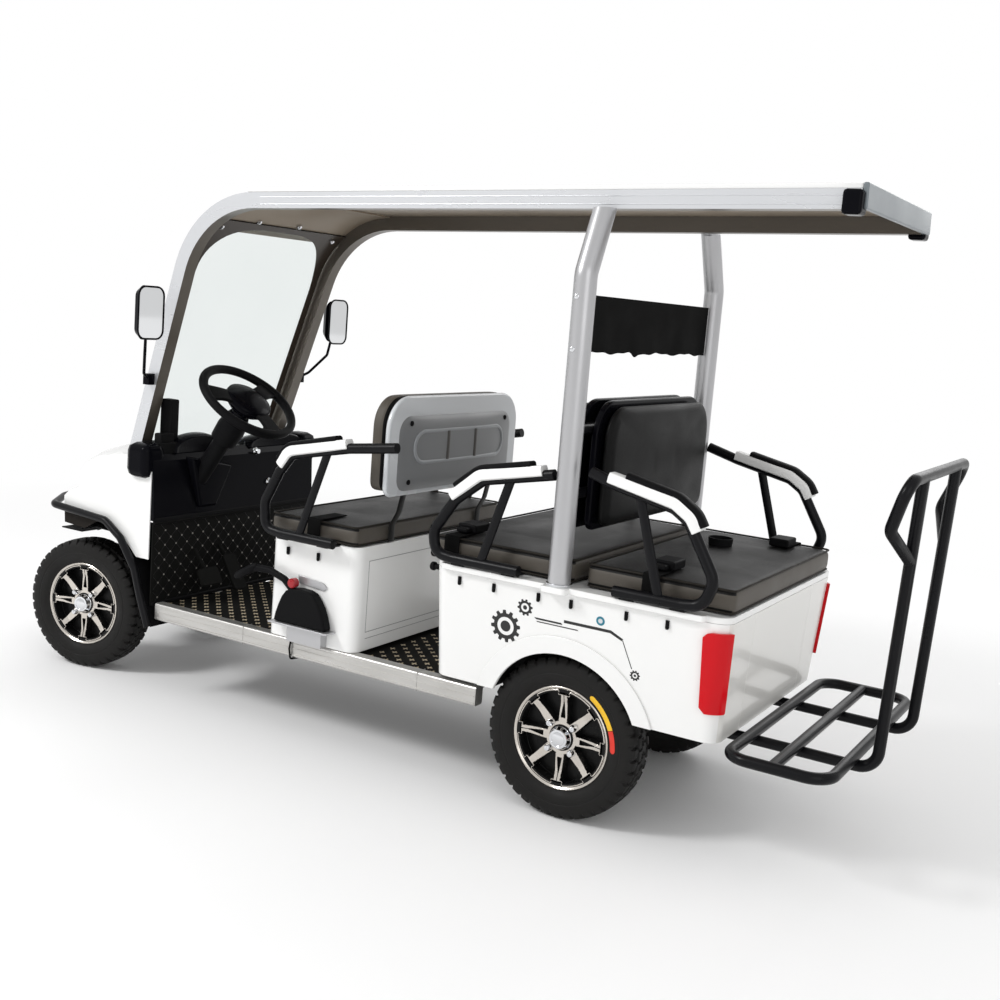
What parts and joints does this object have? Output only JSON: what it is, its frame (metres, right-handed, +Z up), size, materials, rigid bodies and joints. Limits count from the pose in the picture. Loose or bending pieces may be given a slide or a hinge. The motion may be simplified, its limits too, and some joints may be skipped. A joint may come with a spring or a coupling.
{
  "type": "golf cart",
  "caption": "Open golf cart with front-facing and rear-facing benches, a roof on bent pillars, a windscreen, steered front wheels and a rear luggage rack.",
  "frame": {"origin": "on the ground under the middle of the cart's bounding box", "axes": "+Z up, -Y towards the nose, +X towards the driver's (left) side"},
  "size_m": [1.0552, 3.0158, 1.7227],
  "materials": {
    "white_body": "white moulded body panels with a gloss finish",
    "black_paint": "black powder-coated steel",
    "rail_silver": "silver extruded aluminium rail",
    "roof_skin": "white roof skin, beige-grey underneath",
    "clear_screen": "clear plastic windscreen",
    "brown_leather": "charcoal-brown seat leatherette",
    "black_plastic": "black moulded plastic",
    "grey_shell": "light grey seat back shell",
    "white_pad": "white armrest with a black top",
    "tyre_rubber": "black tyre rubber",
    "rim_alloy": "machined alloy",
    "red_lamp": "red lamp lens",
    "clear_lamp": "clear lamp lens",
    "black_rubber": "black rubber mat and flaps",
    "silver_sill": "extruded aluminium sill",
    "axle_steel": "black painted steel",
    "steel_pin": "bare steel",
    "battery_case": "battery cases",
    "curtain_cloth": "black curtain cloth",
    "mirror_shell": "black mirror shell"
  },
  "bodies": {
    "root": {"chassis_frame": "black_paint", "floor_pan": "black_rubber", "side_sills": "silver_sill", "front_axle": "axle_steel", "rear_axle": "axle_steel", "drive_motor": "black_paint", "battery_pack": "battery_case", "front_cowl": "white_body", "headlamps": "clear_lamp", "front_bumper": "black_paint", "arch_liners": "black_plastic", "dashboard": "black_plastic", "kick_board": "black_rubber", "pedals": "black_rubber", "steering_column": "black_plastic", "front_seat_box": "white_body", "front_cushion": "brown_leather", "front_backrest_shell": "grey_shell", "front_backrest": "brown_leather", "front_back_bars": "black_paint", "rear_side_panels": "white_body", "arch_flares": "white_body", "tail_panel": "white_body", "rear_seat_front": "white_body", "tail_lamps": "red_lamp", "rear_seat_deck": "white_body", "middle_cushion": "brown_leather", "rear_cushion": "brown_leather", "backrest_frame": "black_paint", "middle_backrest_shell": "black_plastic", "middle_backrest": "brown_leather", "rear_backrest_shell": "black_plastic", "rear_backrest": "brown_leather", "roof_rails": "rail_silver", "roof_panel": "roof_skin", "roof_tail_bar": "black_plastic", "rear_posts": "black_paint", "curtain": "curtain_cloth", "roof_header": "black_plastic", "windshield": "clear_screen", "mirrors": "mirror_shell", "armrests_front": "black_paint", "armrests_middle": "black_paint", "armrests_rear": "black_paint", "armrest_pads": "white_pad", "handbrake": "black_paint", "rear_rack": "black_paint"},
    "steering_wheel": {"steering_wheel": "black_plastic"},
    "steering_link": {"steering_link": "steel_pin"},
    "knuckle_left": {"knuckle_left": "steel_pin"},
    "knuckle_right": {"knuckle_right": "steel_pin"},
    "wheel_front_left": {"tyre_front_left": "tyre_rubber", "rim_front_left": "rim_alloy"},
    "wheel_front_right": {"tyre_front_right": "tyre_rubber", "rim_front_right": "rim_alloy"},
    "wheel_rear_left": {"tyre_rear_left": "tyre_rubber", "rim_rear_left": "rim_alloy"},
    "wheel_rear_right": {"tyre_rear_right": "tyre_rubber", "rim_rear_right": "rim_alloy"}
  },
  "joints": [
    {"name": "knuckle_left_turn", "type": "hinge", "parent": "root", "child": "knuckle_left", "pos_m": [0.245, -1.268, 0.227], "axis": [0, 0, 1], "range_deg": [-39.1, 20.9]},
    {"name": "knuckle_right_turn", "type": "hinge", "parent": "root", "child": "knuckle_right", "pos_m": [-0.245, -1.268, 0.227], "axis": [0, 0, 1], "range_deg": [-39.2, 21]},
    {"name": "steering_turn", "type": "hinge", "parent": "root", "child": "steering_wheel", "pos_m": [0.2, -0.67, 0.996], "axis": [0, 0.5878, 0.809], "range_deg": [-470.2, 251.8]},
    {"name": "steering_link_slide", "type": "slide", "parent": "root", "child": "steering_link", "axis": [1, 0, 0], "range_m": [-0.02981, 0.05559]},
    {"name": "wheel_front_left_roll", "type": "hinge", "parent": "knuckle_left", "child": "wheel_front_left", "pos_m": [0.30721, -1.25804, 0.227], "axis": [0.9874, 0.1582, 0], "continuous": true},
    {"name": "wheel_front_right_roll", "type": "hinge", "parent": "knuckle_right", "child": "wheel_front_right", "pos_m": [-0.30721, -1.27796, 0.227], "axis": [0.9874, 0.1582, 0], "continuous": true},
    {"name": "wheel_rear_left_roll", "type": "hinge", "parent": "root", "child": "wheel_rear_left", "pos_m": [0.337, 0.67, 0.227], "axis": [1, 0, 0], "continuous": true},
    {"name": "wheel_rear_right_roll", "type": "hinge", "parent": "root", "child": "wheel_rear_right", "pos_m": [-0.337, 0.67, 0.227], "axis": [1, 0, 0], "continuous": true}
  ],
  "couplings": [
    {"joint": "knuckle_right_turn", "follows": "knuckle_left_turn", "ratio": 1},
    {"joint": "steering_turn", "follows": "knuckle_left_turn", "ratio": 12},
    {"joint": "steering_link_slide", "follows": "knuckle_left_turn", "m_per_rad": -0.081169}
  ]
}
